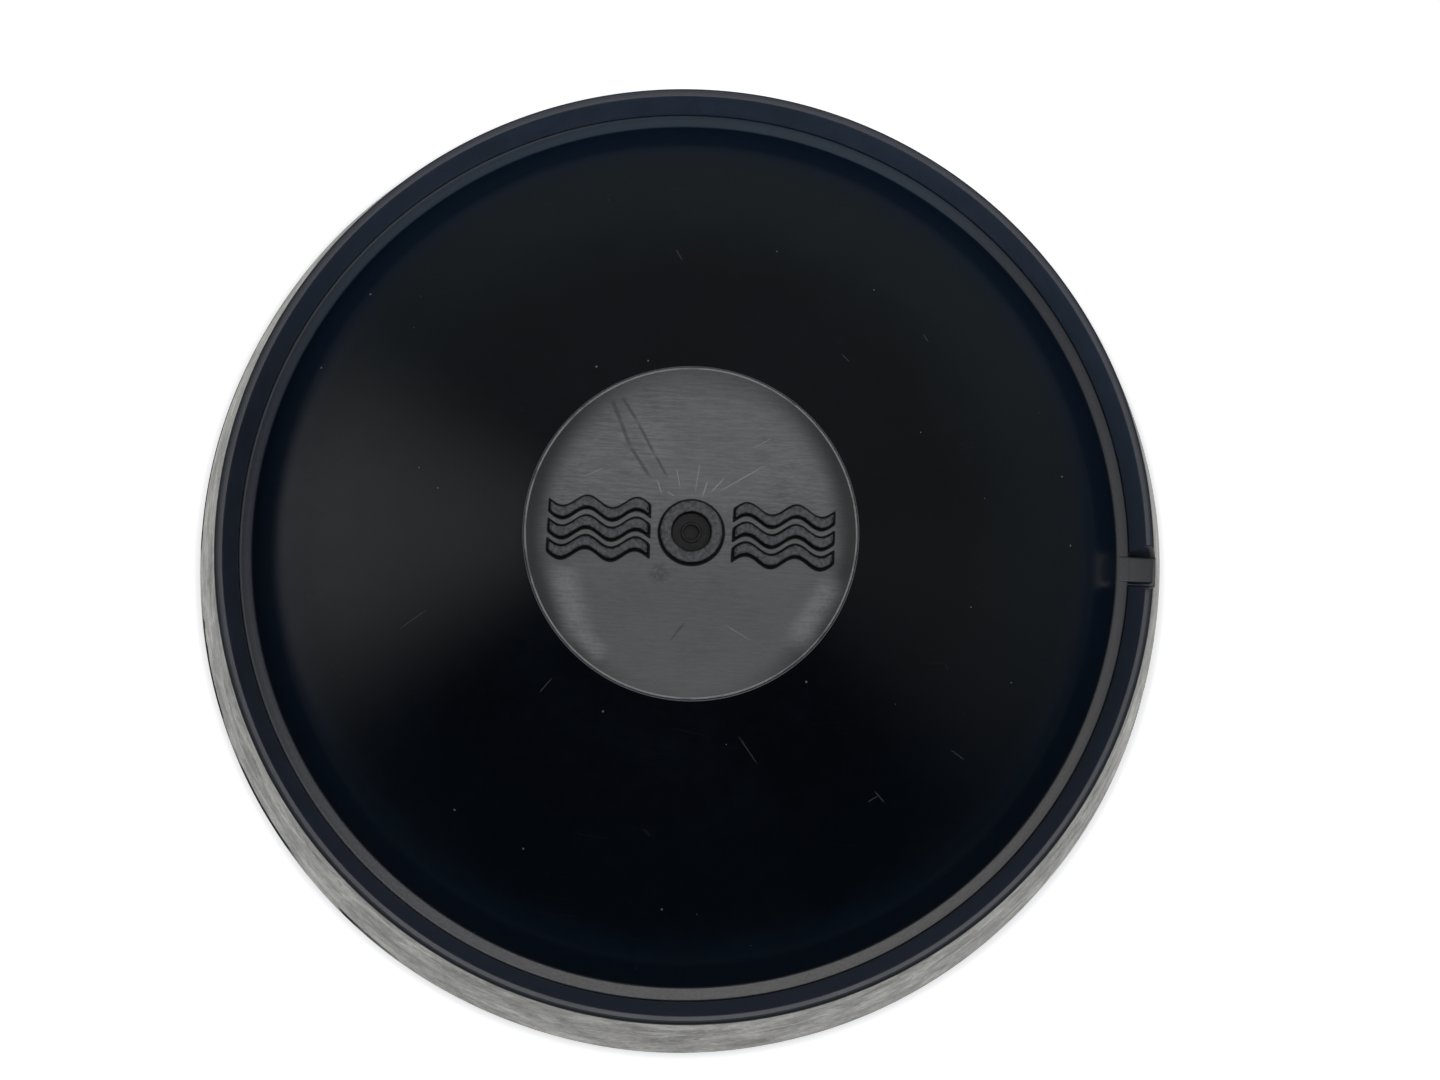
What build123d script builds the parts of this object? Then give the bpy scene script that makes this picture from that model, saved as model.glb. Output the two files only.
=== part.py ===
from build123d import *
import math
import os

# Compact palm-push sink plunger: a hard dome keyed into a rubber cup and held
# from below by a frame, a clamp ring and screws.  Millimetres, +Z up.
# Origin: centre of the circle where the rubber lip rests on the sink.
# +X points at the notch in the rim that takes the tab of the dome.

os.makedirs("parts", exist_ok=True)

# --- dimensions shared by several pieces --------------------------------------
# heights
crown_z = 37.8          # flat top face of the crown disc
recess_z = 32.9         # floor of the dome's recess under the crown disc
floor_under_z = 30.3    # underside of that floor
rim_z = 22.0            # top of the rubber rim
flange_z = 18.8         # top of the dome's flat flange, sunk below the rim
seat_z = 16.4           # underside of the flange, on the rubber ledge
ledge_z = 13.9          # underside of the rubber ledge
lip_z = 3.2             # top of the lip bead

flange_r = 51.8

# rubber wall
flare = 0.2780          # outward run of the outer wall per unit of drop
wall_foot_r = 60.10     # outer wall line produced down to z = 0
wall_t = 3.0

# centre fastening
bolt_r = 2.48
washer_t = 1.0
insert_r = 4.0
insert_len = 8.5

# rim screws, on one circle through the frame ring and the clamp ring
screw_count = 8
screw_circle_r = 39.5
screw_r = 1.45
screw_head_r = 2.8
counterbore_h = 1.0     # sinks the screw heads into the clamp ring


def wall_r(z):
    """Radius of the cup's outer wall at height z."""
    return wall_foot_r - flare * z


def at(shapes, axis, position):
    """Pick the shapes that lie at a position along an axis."""
    return shapes.filter_by_position(axis, position - 0.02, position + 0.02)


def screw_circles(radius):
    """Add a circle at every rim screw to the sketch in progress."""
    with PolarLocations(screw_circle_r, screw_count):
        Circle(radius)


def save(part, name):
    part.label = name
    export_step(part, f"parts/{name}.step")


# --- hard dome with its flange and locating tab -------------------------------
land_z = 37.6           # narrow land of the dome around the crown disc
land_in_r = 18.03
land_out_r = 18.40
shoulder_r = 46.8       # where the long slope turns down to the flange
shoulder_z = 23.4
slope_bulge = 0.35      # how far the long slope bows out from a straight cone
dome_foot_r = 50.27
inner_foot_r = 46.4
inner_shoulder_r = 44.4
recess_wall_r = 20.4    # outside of the cup-shaped recess, seen from below
bolt_hole_r = bolt_r + 0.3

tab_w = 3.0
tab_end_r = 54.7
tab_under_z = 16.9
tab_overlap = 0.6       # run of the tab inside the flange

slope_run = shoulder_r - land_out_r
slope_drop = land_z - shoulder_z
slope_len = math.hypot(slope_run, slope_drop)
slope_mid = (
    (land_out_r + shoulder_r) / 2 + slope_bulge * slope_drop / slope_len,
    (land_z + shoulder_z) / 2 + slope_bulge * slope_run / slope_len,
)

with BuildPart() as palm_dome:
    with BuildSketch(Plane.XZ) as dome_section:
        with BuildLine():
            ThreePointArc((land_out_r, land_z), slope_mid, (shoulder_r, shoulder_z))
            # (radius, z): down the outside, back up the underside, round the recess
            Polyline(
                (shoulder_r, shoulder_z),
                (dome_foot_r, flange_z),
                (flange_r, flange_z),
                (flange_r, seat_z),
                (inner_foot_r, seat_z),
                (inner_foot_r, 19.6),
                (inner_shoulder_r, 21.92),
                (21.6, 33.32),
                (recess_wall_r, 33.0),
                (recess_wall_r, floor_under_z),
                (bolt_hole_r, floor_under_z),
                (bolt_hole_r, recess_z),
                (land_in_r, recess_z),
                (land_in_r, land_z),
                (land_out_r, land_z),
            )
        make_face()
        fillet(at(dome_section.vertices(), Axis.X, shoulder_r), radius=4.0)
        fillet(at(dome_section.vertices(), Axis.X, dome_foot_r), radius=0.3)
        flange_corners = at(dome_section.vertices(), Axis.X, flange_r)
        fillet(at(flange_corners, Axis.Y, flange_z), radius=0.2)
        fillet(at(dome_section.vertices(), Axis.X, land_out_r), radius=0.15)
        fillet(at(dome_section.vertices(), Axis.X, inner_shoulder_r), radius=2.0)
    revolve(axis=Axis.Z)
    with BuildSketch(Plane.XY.offset(tab_under_z)):
        with Locations(((flange_r - tab_overlap + tab_end_r) / 2, 0)):
            Rectangle(tab_end_r - flange_r + tab_overlap, tab_w)
    extrude(amount=flange_z - tab_under_z)
    fillet(at(palm_dome.edges().filter_by(Axis.Z), Axis.X, tab_end_r), radius=0.3)
save(palm_dome.part, "palm_dome")


# --- crown disc: cap with a raised water pattern and a centre pit -------------
disc_r = 17.98
disc_t = 1.7
disc_top_chamfer = 0.12
disc_foot_chamfer = 0.3
skirt_in_r = 16.2

relief_h = 0.95
relief_hub_r = 3.4      # round boss between the two groups of waves
wave_start = 4.6
wave_end = 15.3
wave_cycles = 2
wave_steps = 16         # spline spans along one edge of a wave
wave_amp = 0.62
wave_w = 1.22
wave_pitch = 2.15

pit_r = 2.1
pit_depth = 0.35        # below the top face of the disc
pit_hole_r = 0.8
pit_hole_depth = 0.5
pit_ring_w = 0.32
pit_ring_h = 0.3

disc_plane = Plane.XY.offset(crown_z)
pit_plane = disc_plane.offset(-pit_depth)


def wave_edge(side, y_mid):
    """Points of one edge of a wave; side is -1 or 1, towards -X or +X."""
    points = []
    for i in range(wave_steps + 1):
        part_way = i / wave_steps
        x = wave_start + (wave_end - wave_start) * part_way
        y = y_mid + wave_amp * math.sin(2 * math.pi * wave_cycles * part_way)
        points.append((side * x, y))
    return points


with BuildPart() as crown_disc:
    with BuildSketch(Plane.XZ):
        with BuildLine():
            Polyline(
                (0, crown_z),
                (disc_r - disc_top_chamfer, crown_z),
                (disc_r, crown_z - disc_top_chamfer),
                (disc_r, recess_z + disc_foot_chamfer),
                (disc_r - disc_foot_chamfer, recess_z),
                (skirt_in_r, recess_z),
                (skirt_in_r, crown_z - disc_t),
                (0, crown_z - disc_t),
                close=True,
            )
        make_face()
    revolve(axis=Axis.Z)
    with BuildSketch(disc_plane):
        Circle(relief_hub_r)
        for side in (-1, 1):
            for row_y in (-wave_pitch, 0, wave_pitch):
                with BuildLine():
                    low = Spline(*wave_edge(side, row_y - wave_w / 2))
                    high = Spline(*wave_edge(side, row_y + wave_w / 2))
                    Line(low @ 0, high @ 0)
                    Line(low @ 1, high @ 1)
                make_face()
    extrude(amount=relief_h)
    # round pit through the hub, with a small raised ring and a hole in its floor
    with BuildSketch(disc_plane.offset(relief_h)):
        Circle(pit_r)
    extrude(amount=-(relief_h + pit_depth), mode=Mode.SUBTRACT)
    with BuildSketch(pit_plane):
        Circle(pit_hole_r + pit_ring_w)
        Circle(pit_hole_r, mode=Mode.SUBTRACT)
    extrude(amount=pit_ring_h)
    with BuildSketch(pit_plane):
        Circle(pit_hole_r)
    extrude(amount=-pit_hole_depth, mode=Mode.SUBTRACT)
    relief_top = at(crown_disc.faces().filter_by(Axis.Z), Axis.Z, crown_z + relief_h)
    chamfer(relief_top.edges(), length=0.12)
save(crown_disc.part, "crown_disc")


# --- centre screw, head up on the sealing washer ------------------------------
bolt_len = 12.0
bolt_head_r = 5.2
bolt_head_h = 1.9
bolt_head_z = recess_z + washer_t
bolt_cross = (4.6, 0.95, 1.3)       # length, width and depth of the cross recess

with BuildPart() as centre_screw:
    with BuildSketch(Plane.XY.offset(bolt_head_z)):
        Circle(bolt_head_r)
    extrude(amount=bolt_head_h)
    fillet(centre_screw.edges().group_by(Axis.Z)[-1], radius=1.0)
    with BuildSketch(Plane.XY.offset(bolt_head_z)):
        Circle(bolt_r)
    extrude(amount=-bolt_len)
    chamfer(centre_screw.edges().group_by(Axis.Z)[0], length=0.5)
    cross_len, cross_w, cross_depth = bolt_cross
    with BuildSketch(Plane.XY.offset(bolt_head_z + bolt_head_h)):
        Rectangle(cross_len, cross_w)
        Rectangle(cross_w, cross_len)
    extrude(amount=-cross_depth, mode=Mode.SUBTRACT)
save(centre_screw.part, "centre_screw")


# --- sealing washer -----------------------------------------------------------
washer_r = 6.6
washer_gap = 0.07       # around the bolt

with BuildPart() as sealing_washer:
    with BuildSketch(Plane.XY.offset(recess_z)):
        Circle(washer_r)
        Circle(bolt_r + washer_gap, mode=Mode.SUBTRACT)
    extrude(amount=washer_t)
    top_edges = sealing_washer.edges().group_by(Axis.Z)[-1]
    chamfer(top_edges.sort_by(SortBy.RADIUS)[-1], length=0.2)
save(sealing_washer.part, "sealing_washer")


# --- threaded insert, plain bored with two grooves round the outside ----------
insert_top_z = floor_under_z - 0.4
insert_gap = 0.02       # to the frame outside and to the bolt inside
groove_drops = (2.8, 5.8)           # groove centres below the top
groove_depth = 0.5
groove_h = 0.9

with BuildPart() as threaded_insert:
    with BuildSketch(Plane.XY.offset(insert_top_z)):
        Circle(insert_r - insert_gap)
        Circle(bolt_r + insert_gap, mode=Mode.SUBTRACT)
    extrude(amount=-insert_len)
    with BuildSketch(Plane.XZ):
        for drop in groove_drops:
            with Locations((insert_r, insert_top_z - drop)):
                Rectangle(2 * groove_depth, groove_h)
    revolve(axis=Axis.Z, mode=Mode.SUBTRACT)
save(threaded_insert.part, "threaded_insert")


# --- inner frame: pillar, ribs, ring and screw bosses -------------------------
pillar_r = 8.0
pillar_chamfer = 0.6
pillar_hollow_r = pillar_r - 2.8
pillar_hollow_h = 3.2
insert_bore_depth = insert_len + 1.3

frame_ring_w = 8.2
frame_ring_t = 3.0
boss_r = 3.4
boss_top_z = 22.0
boss_hole_r = screw_r + 0.03
boss_hole_depth = 4.6

rib_count = 8
rib_t = 2.2
rib_overlap = 1.0       # run of the ribs into the pillar and into the ring
rib_in_r = pillar_r - rib_overlap
rib_out_r = screw_circle_r - frame_ring_w / 2 + rib_overlap
rib_cut_margin = 0.5    # the trimming cut runs this far past the rib ends

with BuildPart() as inner_frame:
    # the ribs stand midway between the screw bosses
    with BuildSketch(Plane.XY.offset(seat_z)):
        with PolarLocations((rib_in_r + rib_out_r) / 2, rib_count, start_angle=180 / rib_count):
            Rectangle(rib_out_r - rib_in_r, rib_t)
    extrude(amount=floor_under_z - seat_z - 0.5)
    # sloping top edge of the ribs
    with BuildSketch(Plane.XZ):
        with BuildLine():
            Polyline(
                (rib_in_r - rib_cut_margin, 29.0),
                (13.0, 26.6),
                (rib_out_r + rib_cut_margin, seat_z + 3.8),
                (rib_out_r + rib_cut_margin, floor_under_z + 1.0),
                (rib_in_r - rib_cut_margin, floor_under_z + 1.0),
                close=True,
            )
        make_face()
    revolve(axis=Axis.Z, mode=Mode.SUBTRACT)
    # pillar and ring
    with BuildSketch(Plane.XZ):
        with BuildLine():
            Polyline(
                (0, seat_z),
                (pillar_r - pillar_chamfer, seat_z),
                (pillar_r, seat_z + pillar_chamfer),
                (pillar_r, floor_under_z),
                (0, floor_under_z),
                close=True,
            )
        make_face()
        with Locations((screw_circle_r, seat_z + frame_ring_t / 2)):
            Rectangle(frame_ring_w, frame_ring_t)
    revolve(axis=Axis.Z)
    # bosses and the blind holes of the rim screws
    with BuildSketch(Plane.XY.offset(seat_z)):
        screw_circles(boss_r)
    extrude(amount=boss_top_z - seat_z)
    with BuildSketch(Plane.XY.offset(seat_z)):
        screw_circles(boss_hole_r)
    extrude(amount=boss_hole_depth, mode=Mode.SUBTRACT)
    # bore of the insert, and the separate hollow in the foot of the pillar
    with BuildSketch(Plane.XY.offset(floor_under_z)):
        Circle(insert_r)
    extrude(amount=-insert_bore_depth, mode=Mode.SUBTRACT)
    with BuildSketch(Plane.XY.offset(seat_z)):
        Circle(pillar_hollow_r)
    extrude(amount=pillar_hollow_h, mode=Mode.SUBTRACT)
save(inner_frame.part, "inner_frame")


# --- clamp ring under the rubber ledge ----------------------------------------
clamp_w = 11.0
clamp_t = 2.5
clamp_under_z = ledge_z - clamp_t

with BuildPart() as clamp_ring:
    with BuildSketch(Plane.XY.offset(clamp_under_z)):
        Circle(screw_circle_r + clamp_w / 2)
        Circle(screw_circle_r - clamp_w / 2, mode=Mode.SUBTRACT)
    extrude(amount=clamp_t)
    chamfer(clamp_ring.edges().group_by(Axis.Z)[0], length=0.6)
    # through holes, then counterbores
    for hole_r, depth in ((screw_r + 0.15, clamp_t), (screw_head_r + 0.3, counterbore_h)):
        with BuildSketch(Plane.XY.offset(clamp_under_z)):
            screw_circles(hole_r)
        extrude(amount=depth, mode=Mode.SUBTRACT)
save(clamp_ring.part, "clamp_ring")


# --- rim screws, heads down in the clamp ring ---------------------------------
screw_seat_z = clamp_under_z + counterbore_h
screw_head_h = 1.7
screw_len = 8.1
screw_cross = (2.9, 0.62, 0.95)     # length, width and depth of the cross recess

with BuildPart() as clamp_screws:
    with BuildSketch(Plane.XY.offset(screw_seat_z)):
        screw_circles(screw_head_r)
    extrude(amount=-screw_head_h)
    fillet(clamp_screws.edges().group_by(Axis.Z)[0], radius=0.7)
    with BuildSketch(Plane.XY.offset(screw_seat_z)):
        screw_circles(screw_r)
    extrude(amount=screw_len)
    chamfer(clamp_screws.edges().group_by(Axis.Z)[-1], length=0.5)
    cross_len, cross_w, cross_depth = screw_cross
    with BuildSketch(Plane.XY.offset(screw_seat_z - screw_head_h)):
        with PolarLocations(screw_circle_r, screw_count):
            Rectangle(cross_len, cross_w)
            Rectangle(cross_w, cross_len)
    extrude(amount=cross_depth, mode=Mode.SUBTRACT)
save(clamp_screws.part, "clamp_screws")


# --- rubber cup: rim and ledge ------------------------------------------------
ledge_in_r = 34.8
rim_flat_out_r = 53.65
rim_flat_in_r = 53.1
rim_edge_drop = 0.5     # the outer wall ends this far below the rim top
socket_r = flange_r + 0.05          # rubber around the dome's flange

notch_w = 3.95          # at the flange top; the sides open towards the rim top
notch_top_w = 4.9
notch_start_r = flange_r - 1.0
notch_len = 8.0         # radial run of the cut, out past the rim
notch_over = 1.0        # height of the cut above the rim

notch_slope = (notch_top_w - notch_w) / 2 / (rim_z - flange_z)
notch_foot = notch_w / 2 - notch_slope * (flange_z - seat_z)
notch_head = notch_top_w / 2 + notch_slope * notch_over

with BuildPart() as cup_collar:
    with BuildSketch(Plane.XZ) as collar_section:
        with BuildLine():
            Polyline(
                (ledge_in_r, ledge_z),
                (wall_r(ledge_z), ledge_z),
                (wall_r(rim_z - rim_edge_drop), rim_z - rim_edge_drop),
                (rim_flat_out_r, rim_z),
                (rim_flat_in_r, rim_z),
                (socket_r, flange_z + 0.05),
                (socket_r, seat_z),
                (ledge_in_r, seat_z),
                close=True,
            )
        make_face()
        fillet(at(collar_section.vertices(), Axis.X, rim_flat_in_r), radius=0.15)
        fillet(at(collar_section.vertices(), Axis.X, rim_flat_out_r), radius=0.25)
    revolve(axis=Axis.Z)
    # notch for the tab of the dome
    with BuildSketch(Plane.YZ.offset(notch_start_r)):
        with BuildLine():
            Polyline(
                (-notch_foot, seat_z),
                (notch_foot, seat_z),
                (notch_head, rim_z + notch_over),
                (-notch_head, rim_z + notch_over),
                close=True,
            )
        make_face()
    extrude(amount=notch_len, mode=Mode.SUBTRACT)
    # clearance holes of the rim screws
    with BuildSketch(Plane.XY.offset(ledge_z)):
        screw_circles(screw_r + 0.25)
    extrude(amount=seat_z - ledge_z, mode=Mode.SUBTRACT)
save(cup_collar.part, "cup_collar")


# --- rubber cup: flexing wall, thickened inwards under the ledge --------------
root_z = ledge_z - 2.2  # where the thickening starts
root_extra_t = 2.0      # added thickness at the ledge

with BuildPart() as cup_wall:
    with BuildSketch(Plane.XZ) as wall_section:
        with BuildLine():
            Polyline(
                (wall_r(lip_z) - wall_t, lip_z),
                (wall_r(lip_z), lip_z),
                (wall_r(ledge_z), ledge_z),
                (wall_r(ledge_z) - wall_t - root_extra_t, ledge_z),
                (wall_r(root_z) - wall_t, root_z),
                close=True,
            )
        make_face()
        fillet(at(wall_section.vertices(), Axis.Y, root_z), radius=2.5)
    revolve(axis=Axis.Z)
save(cup_wall.part, "cup_wall")


# --- rubber cup: lip that rests on the sink -----------------------------------
lip_in_r = 55.3
lip_in_top_z = 1.7
lip_bevel = 0.5

with BuildPart() as cup_lip:
    with BuildSketch(Plane.XZ):
        with BuildLine():
            Polyline(
                (wall_r(lip_z) - wall_t, lip_z),
                (lip_in_r, lip_in_top_z),
                (lip_in_r, lip_bevel),
                (lip_in_r + lip_bevel, 0),
                (wall_foot_r - lip_bevel, 0),
                (wall_r(lip_bevel), lip_bevel),
                (wall_r(lip_z), lip_z),
                close=True,
            )
        make_face()
    revolve(axis=Axis.Z)
save(cup_lip.part, "cup_lip")
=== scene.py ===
"""Palm dome in a rubber cup, standing on a pale floor.

The axis is Z, with the foot of the cup at z = 0 and the crown on top. The key tab of the dome
and the notch of the cup that takes it point to +X; the back of the scene is +Y. Shapes are built
in millimetres and scaled to metres once they are finished.
"""

import math

import bmesh
import bpy
import numpy as np
from mathutils import Matrix, Vector

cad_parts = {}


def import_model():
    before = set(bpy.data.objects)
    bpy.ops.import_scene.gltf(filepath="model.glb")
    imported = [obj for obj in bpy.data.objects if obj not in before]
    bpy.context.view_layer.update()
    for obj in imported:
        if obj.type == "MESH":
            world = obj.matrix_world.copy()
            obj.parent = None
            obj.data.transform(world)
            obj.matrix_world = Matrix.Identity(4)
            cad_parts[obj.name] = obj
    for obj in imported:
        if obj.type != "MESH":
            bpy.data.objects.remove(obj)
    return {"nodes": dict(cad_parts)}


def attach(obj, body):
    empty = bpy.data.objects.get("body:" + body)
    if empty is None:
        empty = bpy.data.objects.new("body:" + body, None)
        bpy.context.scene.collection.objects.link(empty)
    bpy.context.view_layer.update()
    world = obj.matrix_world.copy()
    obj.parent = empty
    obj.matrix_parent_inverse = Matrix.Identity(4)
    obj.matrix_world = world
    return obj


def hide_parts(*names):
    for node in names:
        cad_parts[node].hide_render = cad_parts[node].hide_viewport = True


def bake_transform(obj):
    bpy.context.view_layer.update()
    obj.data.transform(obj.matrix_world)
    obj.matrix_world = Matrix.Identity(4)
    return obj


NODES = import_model()["nodes"]
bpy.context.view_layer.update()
scene = bpy.context.scene

# ---------------------------------------------------------------------------
# Dimensions in millimetres, the same as the CAD part
# ---------------------------------------------------------------------------
# heights
CROWN_Z, LAND_Z, RIM_Z, RING_Z, SEAT_Z, LEDGE_Z = 37.8, 37.6, 22.0, 18.8, 16.4, 13.9
RECESS_Z, FLOOR_UNDER_Z = 32.9, 30.3
RELIEF_TOP = 38.75      # top of the raised pattern on the crown disc
LIP_Z = 3.2

# dome: radii of the land round the disc, the foot of the slope and the flange
LAND_IN_R, LAND_OUT_R = 18.03, 18.16
SHOULDER = (46.8, 23.4)
SLOPE_BOW = 0.35        # how far the slope bulges from a straight line
FOOT_R, FLANGE_R = 50.27, 51.8
TAB_W, TAB_END_R, TAB_UNDER_Z, TAB_ROUND = 3.0, 54.7, 16.9, 0.22

# cup: conical wall, flat rim and notch
FLARE, WALL_R0, WALL_T = 0.2780, 60.10, 3.0
COLLAR_R, COLLAR_Z = 51.85, 18.85       # upright step round the flange, and its top
RIM_EDGE_Z, RIM_FLAT_OUT, RIM_FLAT_IN = 21.5, 53.65, 53.1
NOTCH_W, NOTCH_TOP_W = 3.95, 4.9        # width at ring height and at the rim
NOTCH_SLOPE = (NOTCH_TOP_W - NOTCH_W) / 2 / (RIM_Z - RING_Z)
LEDGE_IN_R, LIP_IN_R = 34.8, 55.3
HOLE_COUNT, HOLE_RING_R, HOLE_R, HOLE_SIDES = 8, 39.5, 1.7, 28

# crown disc: gate ring in the middle and three rows of wavy bars on either side
DISC_R, DISC_SKIRT_R, DISC_T = 17.99, 16.2, 1.7
GATE_RING_R = 3.42
WAVE_START, WAVE_END, WAVE_AMP, STROKE, WAVE_CORNER = 4.6, 15.3, 0.62, 1.22, 0.36
WAVE_PERIOD = (WAVE_END - WAVE_START) / 2
WAVE_ROWS = (-2.15, 0.0, 2.15)

COLUMNS = 480           # even columns round the dome and the cup


def wall_r(z):
    """Outer radius of the cup wall."""
    return WALL_R0 - FLARE * z


# ---------------------------------------------------------------------------
# Mesh helpers
# ---------------------------------------------------------------------------
def unit(vector):
    return vector / np.linalg.norm(vector)


def rounded(rows, steps):
    """Closed polyline from rows of (r, z, corner radius), with arcs at the corners."""
    points = [np.array(row[:2], float) for row in rows]
    out = []
    for i, corner in enumerate(points):
        radius = rows[i][2]
        if radius == 0:
            out.append(corner)
            continue
        back = unit(points[i - 1] - corner)
        ahead = unit(points[(i + 1) % len(points)] - corner)
        half = math.acos(float(back @ ahead)) / 2
        trim = radius / math.tan(half)
        centre = corner + unit(back + ahead) * radius / math.sin(half)
        first = math.atan2(*(corner + back * trim - centre)[::-1])
        last = math.atan2(*(corner + ahead * trim - centre)[::-1])
        sweep = (last - first + math.pi) % (2 * math.pi) - math.pi
        for k in range(steps + 1):
            angle = first + sweep * k / steps
            out.append(centre + radius * np.array([math.cos(angle), math.sin(angle)]))
    return out


def densify(points, longest, closed=True):
    """Adds points so that no edge of the polyline is longer than `longest`."""
    out = []
    count = len(points)
    for i in range(count if closed else count - 1):
        start, end = points[i], points[(i + 1) % count]
        pieces = max(1, int(math.ceil(np.linalg.norm(end - start) / longest)))
        out += [start + (end - start) * j / pieces for j in range(pieces)]
    if not closed:
        out.append(points[-1])
    return out


def smooth(ob, degrees):
    """Smooth shading, with edges steeper than `degrees` kept sharp."""
    mesh = ob.data
    mesh.polygons.foreach_set("use_smooth", [True] * len(mesh.polygons))
    mesh.set_sharp_from_angle(angle=math.radians(degrees))
    mesh.update()


def mesh_object(name, verts, faces, smooth_deg=32):
    mesh = bpy.data.meshes.new(name)
    mesh.from_pydata([tuple(v) for v in verts], [], faces)
    mesh.validate()
    bm = bmesh.new()
    bm.from_mesh(mesh)
    bmesh.ops.recalc_face_normals(bm, faces=bm.faces)
    if bm.calc_volume(signed=True) < 0:
        bmesh.ops.reverse_faces(bm, faces=bm.faces)
    bm.to_mesh(mesh)
    bm.free()
    ob = bpy.data.objects.new(name, mesh)
    scene.collection.objects.link(ob)
    smooth(ob, smooth_deg)
    return ob


def ring_body(name, columns, smooth_deg):
    """Closed ring of quads from columns of (x, y, z) points that go once round the axis."""
    count, size = len(columns), len(columns[0])
    faces = []
    for j in range(count):
        here, there = j * size, ((j + 1) % count) * size
        for i in range(size):
            k = (i + 1) % size
            faces.append((here + i, there + i, there + k, here + k))
    return mesh_object(name, np.array(columns).reshape(-1, 3).tolist(), faces, smooth_deg)


def turned_solid(name, profile, count):
    """Solid of revolution from an open (r, z) profile with both ends on the axis."""
    inner = profile[1:-1]
    size = len(inner)
    verts, faces = [], []
    for j in range(count):
        angle = 2 * math.pi * j / count
        verts += [(r * math.cos(angle), r * math.sin(angle), z) for r, z in inner]
    top, bottom = len(verts), len(verts) + 1
    verts += [(0, 0, profile[0][1]), (0, 0, profile[-1][1])]
    for j in range(count):
        here, there = j * size, ((j + 1) % count) * size
        faces.append((top, here, there))
        faces.append((bottom, there + size - 1, here + size - 1))
        for i in range(size - 1):
            faces.append((here + i, there + i, there + i + 1, here + i + 1))
    return mesh_object(name, verts, faces)


def boolean(ob, other, operation, smooth_deg):
    """Applies a boolean with `other`, which is then removed, and cleans up the mesh."""
    cut = ob.modifiers.new("cut", "BOOLEAN")
    cut.operation, cut.solver, cut.object = operation, "MANIFOLD", other
    depsgraph = bpy.context.evaluated_depsgraph_get()
    mesh = bpy.data.meshes.new_from_object(ob.evaluated_get(depsgraph))
    ob.modifiers.clear()
    old = ob.data
    ob.data = mesh
    mesh.name = old.name
    bpy.data.objects.remove(other)
    bm = bmesh.new()
    bm.from_mesh(mesh)
    bmesh.ops.remove_doubles(bm, verts=bm.verts, dist=1e-5)
    bmesh.ops.dissolve_degenerate(bm, edges=bm.edges, dist=1e-5)
    bm.to_mesh(mesh)
    bm.free()
    smooth(ob, smooth_deg)


def mirrored(offsets):
    return sorted(set([-e for e in offsets] + offsets))


def column_angles(offsets):
    """Even columns round the circle, but near +X columns at the given sideways offsets (mm),
    measured at the flange edge."""
    keep_out = max(offsets) + 0.15
    angles = [math.asin(e / FLANGE_R) for e in offsets]
    for j in range(COLUMNS):
        angle = 2 * math.pi * j / COLUMNS
        angle = angle - 2 * math.pi if angle > math.pi else angle
        if abs(math.sin(angle) * FLANGE_R) > keep_out or math.cos(angle) < 0:
            angles.append(angle)
    return sorted(angles)


# ---------------------------------------------------------------------------
# Palm dome: hard shell with its flange and key tab
# ---------------------------------------------------------------------------
def dome_section():
    """Closed (r, z) section, from the land down the slope and back along the underside."""
    top, shoulder = np.array((LAND_OUT_R, LAND_Z)), np.array(SHOULDER)
    run = shoulder - top
    outward = unit(np.array((-run[1], run[0])))
    slope = [top + run * t + outward * 4 * SLOPE_BOW * t * (1 - t)
             for t in np.linspace(0, 0.925, 26)]
    rows = [(*point, 0) for point in slope]
    rows[0] = (*slope[0], 0.05)
    # r, z, corner radius
    rows += [
        (*SHOULDER, 8.5),
        (FOOT_R, RING_Z, 0.35),
        (FLANGE_R - 0.9, RING_Z, 0),
        (FLANGE_R, RING_Z, 0.18),
        (FLANGE_R, SEAT_Z, 0),
        (46.4, SEAT_Z, 0.1),
        (46.4, 19.6, 0),
        (44.4, 21.92, 2.0),
        (21.6, 33.32, 0),
        (20.4, 33.0, 0),
        (20.4, FLOOR_UNDER_Z, 0),
        (2.78, FLOOR_UNDER_Z, 0),
        (2.78, RECESS_Z, 0),
        (LAND_IN_R, RECESS_Z, 0),
        (LAND_IN_R, LAND_Z, 0.03),
    ]
    return densify(rounded(rows, steps=7), 2.2)


def dome_column(angle, section):
    """One column of the dome; within the tab its flange edge is pulled out along X."""
    cos, sin = math.cos(angle), math.sin(angle)
    side = sin * FLANGE_R
    edge = TAB_W / 2 - abs(side)
    in_tab = cos > 0 and edge >= -1e-6
    sag = 0.0
    if edge < TAB_ROUND:
        sag = TAB_ROUND - math.sqrt(max(0.0, TAB_ROUND ** 2 - (TAB_ROUND - edge) ** 2))
    reach = TAB_END_R - FLANGE_R - sag
    column = []
    for r, z in section:
        if in_tab and r > FLANGE_R - 0.25 and z > TAB_UNDER_Z:
            on_top = z > RING_Z - 0.19
            column.append((r + reach, side, z - 0.7 * sag if on_top else z))
        else:
            column.append((r * cos, r * sin, z))
    return column


def build_dome():
    half = TAB_W / 2
    # closer columns towards the rounded sides of the tab
    offsets = [0.0, 0.4, 0.8, 1.1]
    offsets += [half + e for e in (-0.26, -0.18, -0.10, -0.04, -0.01, 0, 0.012, 0.2)]
    section = dome_section()
    columns = [dome_column(angle, section) for angle in column_angles(mirrored(offsets))]
    return ring_body("palm_dome_shell", columns, smooth_deg=38)


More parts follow.
